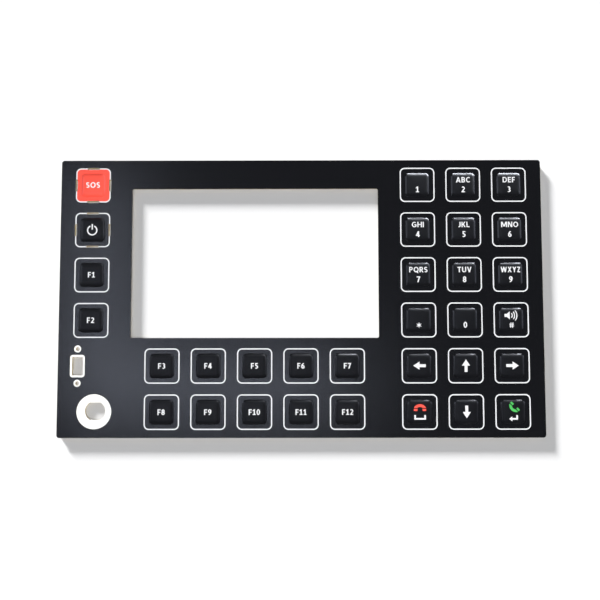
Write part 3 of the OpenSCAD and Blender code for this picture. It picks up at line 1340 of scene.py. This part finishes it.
@dataclass(frozen=True)
class LegendFont:
    """Bold upright letters and figures, drawn from strokes in shares of their height."""

    stem: float = 0.2
    hair: float = 0.17
    gap: float = 0.15

    def post(self, x: float, low: float = 0.0, high: float = 1.0) -> list[Point]:
        """Upright stroke about x."""
        return box_outline((x - self.stem / 2, low), (x + self.stem / 2, high))

    def bar(self, left: float, right: float, y: float) -> list[Point]:
        """Level stroke about y."""
        return box_outline((left, y - self.hair / 2), (right, y + self.hair / 2))

    def leg(self, foot: Point, head: Point) -> list[Point]:
        """Slanted stroke with level ends.

        Args:
            foot: Middle of its lower end.
            head: Middle of its upper end.

        Returns:
            The stroke's outline.
        """
        half = self.stem / 2 * math.hypot(1.0, (head[0] - foot[0]) / (head[1] - foot[1]))
        ends = ((foot, -half), (foot, half), (head, half), (head, -half))
        return [(x + shift, y) for (x, y), shift in ends]

    def bow(self, x: float, y: float, rx: float, ry: float, start: float, end: float) -> list[Point]:
        """Part of an oval stroke.

        Args:
            x: Centre across.
            y: Centre up.
            rx: Outer radius across.
            ry: Outer radius up.
            start: First angle in degrees.
            end: Last angle in degrees.

        Returns:
            The stroke's outline.
        """
        fewest, step_deg = 4, 12.0
        steps = max(fewest, int((end - start) / step_deg))
        rim = arc_points((0.0, 0.0), 1.0, start, end, steps)
        outer = [(x + rx * u, y + ry * v) for u, v in rim]
        inner = [(x + (rx - self.stem) * u, y + (ry - self.hair) * v) for u, v in reversed(rim)]
        return outer + inner

    def oval(self, x: float, y: float, rx: float, ry: float) -> Shape:
        """Closed oval stroke, as two halves."""
        return [self.bow(x, y, rx, ry, -90, 90), self.bow(x, y, rx, ry, 90, 270)]

    def glyphs(self) -> dict[str, tuple[float, Shape]]:
        """Draws the characters.

        Returns:
            The width and strokes of each.
        """
        post, bar, leg, bow, oval = self.post, self.bar, self.leg, self.bow, self.oval
        top, low = 1 - self.hair / 2, self.hair / 2
        half = 0.25 + self.hair / 4
        ring = oval(0.46, 0.5, 0.46, 0.5)
        loop = [
            post(0.1), bar(0.1, 0.34, top), bow(0.33, 0.69, 0.31, 0.31, -90, 90),
            bar(0.1, 0.34, 0.38 + low),
        ]
        six = oval(0.3, 0.31, 0.3, 0.31) + [bow(0.48, 0.38, 0.48, 0.62, 92, 180)]
        return {
            "A": (0.86, [leg((0.1, 0), (0.43, 1)), leg((0.76, 0), (0.43, 1)), bar(0.22, 0.64, 0.27)]),
            "B": (0.66, [
                post(0.1), bar(0.1, 0.36, top), bar(0.1, 0.36, 0.5), bar(0.1, 0.36, low),
                bow(0.34, 1 - half, 0.28, half, -90, 90), bow(0.36, half, 0.3, half, -90, 90),
            ]),
            "C": (0.76, [bow(0.46, 0.5, 0.46, 0.5, 50, 310)]),
            "D": (0.8, [
                post(0.1), bar(0.1, 0.36, top), bar(0.1, 0.36, low), bow(0.35, 0.5, 0.45, 0.5, -90, 90),
            ]),
            "E": (0.58, [post(0.1), bar(0.1, 0.57, top), bar(0.1, 0.52, 0.51), bar(0.1, 0.58, low)]),
            "F": (0.55, [post(0.1), bar(0.1, 0.55, top), bar(0.1, 0.51, 0.48)]),
            "G": (0.86, [bow(0.46, 0.5, 0.46, 0.5, 50, 315), post(0.75, 0.13, 0.53), bar(0.48, 0.85, 0.46)]),
            "H": (0.82, [post(0.1), post(0.72), bar(0.1, 0.72, 0.51)]),
            "I": (0.2, [post(0.1)]),
            "J": (0.48, [post(0.38, 0.27, 1), bow(0.16, 0.29, 0.32, 0.29, -105, 0)]),
            "K": (0.74, [post(0.1), leg((0.22, 0.4), (0.61, 1)), leg((0.63, 0), (0.31, 0.6))]),
            "L": (0.56, [post(0.1), bar(0.1, 0.56, low)]),
            "M": (1.06, [post(0.1), post(0.96), leg((0.53, 0.12), (0.15, 1)), leg((0.53, 0.12), (0.91, 1))]),
            "N": (0.82, [post(0.1), post(0.72), leg((0.68, 0), (0.14, 1))]),
            "O": (0.92, ring),
            "P": (0.64, loop),
            "Q": (0.92, ring + [leg((0.8, -0.14), (0.5, 0.26))]),
            "R": (0.7, loop + [leg((0.6, 0), (0.34, 0.48))]),
            "S": (0.6, [bow(0.3, 1 - half, 0.3, half, 30, 270), bow(0.3, half, 0.3, half, -150, 90)]),
            "T": (0.68, [post(0.34), bar(0, 0.68, top)]),
            "U": (0.76, [post(0.1, 0.36, 1), post(0.66, 0.36, 1), bow(0.38, 0.37, 0.38, 0.37, 180, 360)]),
            "V": (0.8, [leg((0.4, 0), (0.1, 1)), leg((0.4, 0), (0.7, 1))]),
            "W": (1.16, [
                leg((0.32, 0), (0.1, 1)), leg((0.32, 0), (0.58, 1)),
                leg((0.84, 0), (0.58, 1)), leg((0.84, 0), (1.06, 1)),
            ]),
            "X": (0.76, [leg((0.12, 0), (0.64, 1)), leg((0.64, 0), (0.12, 1))]),
            "Y": (0.72, [post(0.36, 0, 0.5), leg((0.36, 0.42), (0.11, 1)), leg((0.36, 0.42), (0.61, 1))]),
            "Z": (0.64, [bar(0.03, 0.61, top), bar(0.02, 0.62, low), leg((0.14, low), (0.5, top))]),
            "0": (0.62, oval(0.31, 0.5, 0.31, 0.5)),
            "1": (0.56, [post(0.31), bar(0.02, 0.56, low), leg((0.08, 0.7), (0.33, 0.95))]),
            "2": (0.6, [
                bow(0.28, 0.69, 0.31, 0.31, -25, 145), bar(0.02, 0.6, low), leg((0.14, low), (0.44, 0.57)),
            ]),
            "3": (0.58, [bow(0.25, 1 - half, 0.3, half, -90, 130), bow(0.26, half, 0.32, half, -130, 90)]),
            "4": (0.66, [post(0.44), bar(0, 0.66, 0.28), leg((0.1, 0.28), (0.41, 1))]),
            "5": (0.58, [bar(0.08, 0.54, top), post(0.17, 0.5, 1), bow(0.24, 0.31, 0.34, 0.31, -130, 105)]),
            "6": (0.6, six),
            "7": (0.6, [bar(0, 0.6, top), leg((0.2, 0), (0.48, top))]),
            "8": (0.6, oval(0.3, 1 - half, 0.27, half) + oval(0.3, half, 0.3, half)),
            "9": (0.6, [[(0.6 - x, 1 - y) for x, y in outline] for outline in six]),
        }

    def word(self, text: str, height: float, widest: float) -> Shape:
        """Sets a word about the origin.

        Args:
            text: The word.
            height: Height of its capitals.
            widest: Width that a longer word is narrowed to.

        Returns:
            The outlines of its strokes.
        """
        glyphs = self.glyphs()
        width = sum(glyphs[c][0] for c in text) + self.gap * (len(text) - 1)
        narrow = min(1.0, widest / (width * height))
        shape: Shape = []
        at = -width / 2
        for character in text:
            advance, strokes = glyphs[character]
            shape += [
                [((at + x) * height * narrow, (y - 0.5) * height) for x, y in outline] for outline in strokes
            ]
            at += advance + self.gap
        return shape


@dataclass(frozen=True)
class Mark:
    """One word or symbol on a key."""

    key: str
    rise: float = 0.0
    word: str = ""
    shape: Callable[[], Shape] | None = None
    height: float = 2.4
    ink: InkColour = InkColour.WHITE


@dataclass
class Legends:
    """Words and symbols printed on the keys, draped over their crowns, in millimetres."""

    layout: Layout
    key: KeyForm
    letters: str = "ABC DEF GHI JKL MNO PQRS TUV WXYZ"
    line_rise: float = 2.05
    digit_drop: float = -2.2
    digit_height: float = 2.55
    widest: float = 8.5
    # The call key's handset is stood up from the lying one
    call_turn: float = 135.0
    call_scale: float = 0.95
    font: LegendFont = LegendFont()
    # Height of the print's underside over the film
    lift: float = 0.004
    # Spacing of the cuts that let a mark follow its key, and the gap that closes its seams
    cut: float = 0.5
    seam: float = 0.0001

    def marks(self) -> list[Mark]:
        """Lists the legends.

        Returns:
            One mark for each word or symbol.
        """
        found = [Mark("emergency", word="SOS", height=2.5), Mark("power", shape=Symbols.power)]
        found += [Mark(name, word=name.upper()) for name in self.layout.names if name[0] == "f"]
        for digit in "1234567890":
            found.append(Mark(digit, rise=self.digit_drop, word=digit, height=self.digit_height))
        for digit, group in zip("23456789", self.letters.split()):
            found.append(Mark(digit, rise=self.line_rise, word=group))
        found += [Mark(turn.name.lower(), shape=partial(Symbols.arrow, turn)) for turn in Turn]
        standing = partial(turned, Symbols.handset(), self.call_turn, self.call_scale)
        found += [
            Mark("star", rise=-2.3, shape=Symbols.star),
            Mark("hash", rise=1.85, shape=Symbols.speaker),
            Mark("hash", rise=-2.35, shape=Symbols.number_sign),
            Mark("hang_up", rise=1.95, shape=Symbols.handset, ink=InkColour.RED),
            Mark("hang_up", rise=-2.3, shape=Symbols.space),
            Mark("call", rise=1.65, shape=standing, ink=InkColour.GREEN),
            Mark("call", rise=-2.6, shape=Symbols.enter),
        ]
        return found

    def outlines(self, mark: Mark) -> Shape:
        """Outlines of a word or symbol about its own middle."""
        return mark.shape() if mark.shape else self.font.word(mark.word, mark.height, self.widest)

    def drape(self, bm: bmesh.types.BMesh, mark: Mark) -> bpy.types.Mesh:
        """Lays a flat mark on its key.

        Args:
            bm: Its mesh in millimetres, freed here.
            mark: The mark.

        Returns:
            The mesh in its place.
        """
        for v in bm.verts:
            v.co.y += mark.rise
        reach = self.key.size / 2
        for axis in ((1.0, 0.0, 0.0), (0.0, 1.0, 0.0)):
            for at in np.arange(-reach, reach, self.cut):
                geometry = [*bm.verts, *bm.edges, *bm.faces]
                bmesh.ops.bisect_plane(
                    bm, geom=geometry, dist=SHAPE_GAP, plane_co=Vector(axis) * float(at), plane_no=axis
                )
        x0, y0 = self.layout.centre[mark.key]
        flat = np.array([v.co.xy for v in bm.verts])
        heights = self.layout.face_z + self.key.height_at(flat[:, 0], flat[:, 1]) + self.base(mark.key)
        for v, (x, y), z in zip(bm.verts, flat, heights):
            v.co = Vector((x0 + x, y0 + y, z)) * MM
        mesh = bpy.data.meshes.new("mark")
        bm.to_mesh(mesh)
        bm.free()
        return mesh

    def base(self, key: str) -> float:
        """Height of a key's print over its film: the emergency key's legend lies on its red field."""
        return self.lift + (self.layout.ink_t if key == "emergency" else 0.0)

    def build(self, ink: InkColour) -> bpy.types.Object:
        """Builds all the marks of one colour.

        Args:
            ink: The colour.

        Returns:
            The marks as one piece.
        """
        meshes = []
        for mark in self.marks():
            if mark.ink is ink:
                meshes.append(self.drape(filled(self.outlines(mark)), mark))
        name = f"{ink.value}_legends"
        return thickened(name, merged(name, meshes, self.seam), self.layout.ink_t - self.lift, 1)


@dataclass
class Laminate:
    """The flat layers under the overlay, which keep their CAD solids and get real finishes."""

    layout: Layout
    finishes: dict[str, Finish] = field(init=False)

    def __post_init__(self) -> None:
        """Pairs each layer with its finish."""
        adhesive = SheetPlastic("acrylic_adhesive", "#e6dfc4", "#d8cfae", roughness=0.3)
        gold = PlatedMetal("gold_plating", "#e9c15a", "#d9a93f", roughness=0.28)
        clear = SheetPlastic(
            "clear_polyester", "#e6ecef", "#dbe3e7", roughness=0.25, grain_mm=6.0, transmission=0.6
        )
        self.finishes = {
            "overlay_adhesive": adhesive,
            "dome_spacer": SheetPlastic("white_polyester", "#fbfbf8", "#f3f3ee"),
            "dome_retainer": clear,
            "key_contacts": gold,
            "circuit_board": CoatedGlassEpoxy(),
            "tail_lands": gold,
            "rear_adhesive": adhesive,
            "release_liner": LinerPaper(),
        }
        steel = PlatedMetal("stainless_spring_steel", "#c9ccd0", "#b4b8bd")
        for name in self.layout.names:
            self.finishes[f"dome_{name}"] = steel

    def dress(self, nodes: Mapping[str, bpy.types.Object]) -> None:
        """Gives each layer's solid its material.

        Args:
            nodes: The frame's nodes by name.
        """
        made: dict[str, bpy.types.Material] = {}
        for name, finish in self.finishes.items():
            if finish.name not in made:
                made[finish.name] = finish.material()
            for slot in nodes[name].material_slots:
                slot.material = made[finish.name]
        log.info("laminate: %d solids in %d finishes", len(self.finishes), len(made))


def link_light(lamp: bpy.types.Object, floor: bpy.types.Object, reach: Reach) -> None:
    """Keeps a lamp's light to the floor, or off it.

    Args:
        lamp: The lamp.
        floor: The floor.
        reach: Which of the two.
    """
    receivers = bpy.data.collections.new(f"{lamp.name}_receivers")
    receivers.objects.link(floor)
    receivers.collection_objects[0].light_linking.link_state = reach.value
    lamp.light_linking.receiver_collection = receivers


@dataclass(frozen=True)
class Lamp:
    """A soft rectangular lamp aimed at a point, in metres."""

    name: str
    place: tuple[float, float, float]
    aim: tuple[float, float, float]
    width: float
    depth: float
    watts: float
    colour: str = "#ffffff"
    diffuse: bool = True
    glossy: bool = True

    def build(self) -> bpy.types.Object:
        """Makes the lamp.

        Returns:
            The lamp.
        """
        data = bpy.data.lights.new(self.name, "AREA")
        data.shape = "RECTANGLE"
        data.size, data.size_y = self.width, self.depth
        data.energy = self.watts
        data.color = linear(self.colour)[:3]
        lamp = new_object(self.name, data)
        lamp.location = self.place
        lamp.rotation_euler = (Vector(self.aim) - Vector(self.place)).to_track_quat("-Z", "Y").to_euler()
        lamp.visible_camera = False
        lamp.visible_diffuse = self.diffuse
        lamp.visible_glossy = self.glossy
        return lamp


@dataclass
class Studio:
    """Pale floor, soft light and the camera, in metres and degrees."""

    floor_size: float = 6.0
    floor_drop: float = 0.00002
    floor_albedo: str = "#e3e3e3"
    # Share of the floor's white that doesn't come from the lamps, so that shadows stay pale
    floor_glow: float = 0.02
    room_level: float = 0.15
    sun_strength: float = 9.8
    sun_elevation: float = 14.8
    sun_azimuth: float = 35.5
    sun_angle: float = 11.0
    focal_px: float = 1040.0
    camera_place: tuple[float, float, float] = (0.00142, -0.04468, 0.45177)
    camera_turn: tuple[float, float, float] = (5.5345, 0.2368, -0.0572)

    def lamps(self) -> list[Lamp]:
        """Lists the soft lamps that light everything.

        Returns:
            Two tubes that the film mirrors, lamps that the keys' shoulders mirror, and the fill.
        """
        cool, pale, white, middle = "#e2eaff", "#e9f0ff", "#f0f4ff", (0.05, 0.0, 0.0)
        tubes = [
            Lamp("side_tube", (-0.321, 0.129, 1.17), (-0.321, 0.129, 0.0), 0.03, 0.37, 0.4, cool),
            Lamp("low_tube", (-0.139, -0.019, 1.17), (-0.139, -0.019, 0.0), 0.4, 0.03, 0.46, cool),
        ]
        # Low behind the panel, so that the flat film mirrors it only in very low views
        strip_place, strip_aim = (0.09, 0.115, 0.0075), (0.07, 0.03, 0.003)
        strip = Lamp("back_strip", strip_place, strip_aim, 0.14, 0.009, 0.28, white, False)
        panels = [
            Lamp("back_panel", (0.15, 0.4, 0.22), (0.06, 0.0, 0.0), 0.3, 0.24, 0.42, pale, False),
            Lamp("left_panel", (-0.6, 0.15, 0.28), middle, 0.3, 0.3, 0.7, cool, False),
            Lamp("right_panel", (0.65, 0.15, 0.1), middle, 0.3, 0.15, 0.5, cool, False),
        ]
        fill = Lamp("fill", (0.0, -0.3, 1.4), (0.0, 0.0, 0.0), 0.5, 0.5, 8.3, glossy=False)
        return [*tubes, strip, *panels, fill]

    def front_lamp(self) -> Lamp:
        """Broad lamp that lights the panel from the front."""
        return Lamp("front_light", (0.25, -0.3, 1.2), (0.0, 0.0, 0.0), 0.9, 0.9, 15.0, glossy=False)

    def floor(self) -> bpy.types.Object:
        """Makes the floor.

        Returns:
            The floor, marked as the stage.
        """
        half = self.floor_size / 2
        corners = [(-half, -half), (half, -half), (half, half), (-half, half)]
        mesh = bpy.data.meshes.new("floor")
        mesh.from_pydata([(x, y, -self.floor_drop) for x, y in corners], [], [(0, 1, 2, 3)])
        floor = new_object("floor", mesh)
        mesh.materials.append(self.floor_material())
        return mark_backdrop(floor) or floor

    def floor_material(self) -> bpy.types.Material:
        """Matt pale floor with a glow that only the view and mirror images of it see.

        Returns:
            The material.
        """
        material = bpy.data.materials.new("pale_studio_floor")
        material.use_nodes = True
        tree = material.node_tree
        tree.nodes.clear()
        paths = add_node(tree, "ShaderNodeLightPath").outputs
        seen = paths["Is Camera Ray"]
        for ray in ("Is Glossy Ray", "Is Transmission Ray"):
            seen = add_node(
                tree, "ShaderNodeMath", {"operation": "ADD", "use_clamp": True}, {0: seen, 1: paths[ray]}
            ).outputs[0]
        glow = add_node(tree, "ShaderNodeMath", {"operation": "MULTIPLY"}, {0: seen, 1: self.floor_glow})
        matt = add_node(tree, "ShaderNodeBsdfDiffuse", None, {"Color": linear(self.floor_albedo)})
        light = add_node(tree, "ShaderNodeEmission", None, {"Strength": glow.outputs[0]})
        both = add_node(tree, "ShaderNodeAddShader", None, {0: matt.outputs[0], 1: light.outputs[0]})
        add_node(tree, "ShaderNodeOutputMaterial", None, {"Surface": both.outputs[0]})
        return material

    def room(self) -> None:
        """Sets up the room's dim light, which the camera sees as white."""
        world = bpy.data.worlds.new("room")
        bpy.context.scene.world = world
        world.use_nodes = True
        tree = world.node_tree
        paths = add_node(tree, "ShaderNodeLightPath").outputs
        level = add_node(
            tree, "ShaderNodeMapRange", None,
            {"Value": paths["Is Camera Ray"], "To Min": self.room_level, "To Max": 1.0},
        )
        background = {"Color": linear("#ffffff"), "Strength": level.outputs["Result"]}
        feed(tree, tree.nodes["Background"], background)

    def sun(self) -> bpy.types.Object:
        """Makes the sun that gives the shadow.

        Returns:
            The sun.
        """
        data = bpy.data.lights.new("sun", "SUN")
        data.energy = self.sun_strength
        data.angle = math.radians(self.sun_angle)
        sun = new_object("sun", data)
        sun.rotation_euler = (
            math.radians(90 - self.sun_elevation), 0.0, math.radians(180 + self.sun_azimuth)
        )
        sun.visible_glossy = False
        return sun

    def light(self, floor: bpy.types.Object) -> None:
        """Sets up the room and the lamps.

        The panel is lit evenly from the front, and its shadow is flat and soft-edged, so the sun lights
        only the floor and the front light all but the floor.

        Args:
            floor: The floor.
        """
        self.room()
        for lamp in self.lamps():
            lamp.build()
        link_light(self.front_lamp().build(), floor, Reach.ALL_BUT_FLOOR)
        link_light(self.sun(), floor, Reach.FLOOR_ONLY)

    def camera(self) -> None:
        """Sets up the camera at the photograph's view."""
        scene = bpy.context.scene
        data = bpy.data.cameras.new("camera")
        data.sensor_width = SENSOR_WIDTH
        data.lens = self.focal_px * SENSOR_WIDTH / IMAGE_WIDTH
        camera = new_object("camera", data)
        camera.location = self.camera_place
        camera.rotation_euler = [math.radians(a) for a in self.camera_turn]
        scene.camera = camera
        scene.view_settings.view_transform = "Standard"

    def build(self) -> None:
        """Builds the floor, the light and the camera."""
        self.light(self.floor())
        self.camera()


INKS = {
    InkColour.WHITE: ScreenInk("white_screen_ink", "#dcdddf", "#e4e5e6"),
    InkColour.RED: ScreenInk("red_screen_ink", "#eb4d3d", "#ee5344"),
    InkColour.GREEN: ScreenInk("green_screen_ink", "#3fb04e", "#4cba5a"),
}
# The record has no slot for green ink
INK_SLOTS = {InkColour.WHITE: "white_ink", InkColour.RED: "red_ink", InkColour.GREEN: None}


def main() -> None:
    """Builds the keypad's pieces in order and lights them."""
    logging.basicConfig(level=logging.INFO, format="%(name)s %(message)s")
    Studio().build()
    layout, key, array = Layout(), KeyForm(), KeyArray()
    inks = {colour: ink.material() for colour, ink in INKS.items()}
    white, red = inks[InkColour.WHITE], inks[InkColour.RED]
    overlay = Overlay(layout, key)
    film = overlay.finish().material()
    dress(overlay.build(array, film), film, "overlay_film", "graphic_overlay")
    dress(Outlines(layout).build(array, white), white, "white_ink", "key_outline_print")
    dress(EmergencyField(layout, key).build(), red, "red_ink", "emergency_print")
    legends = Legends(layout, key)
    for colour, slot in INK_SLOTS.items():
        dress(legends.build(colour), inks[colour], slot)
    Laminate(layout).dress(frame["nodes"])


if __name__ == "__main__":
    main()
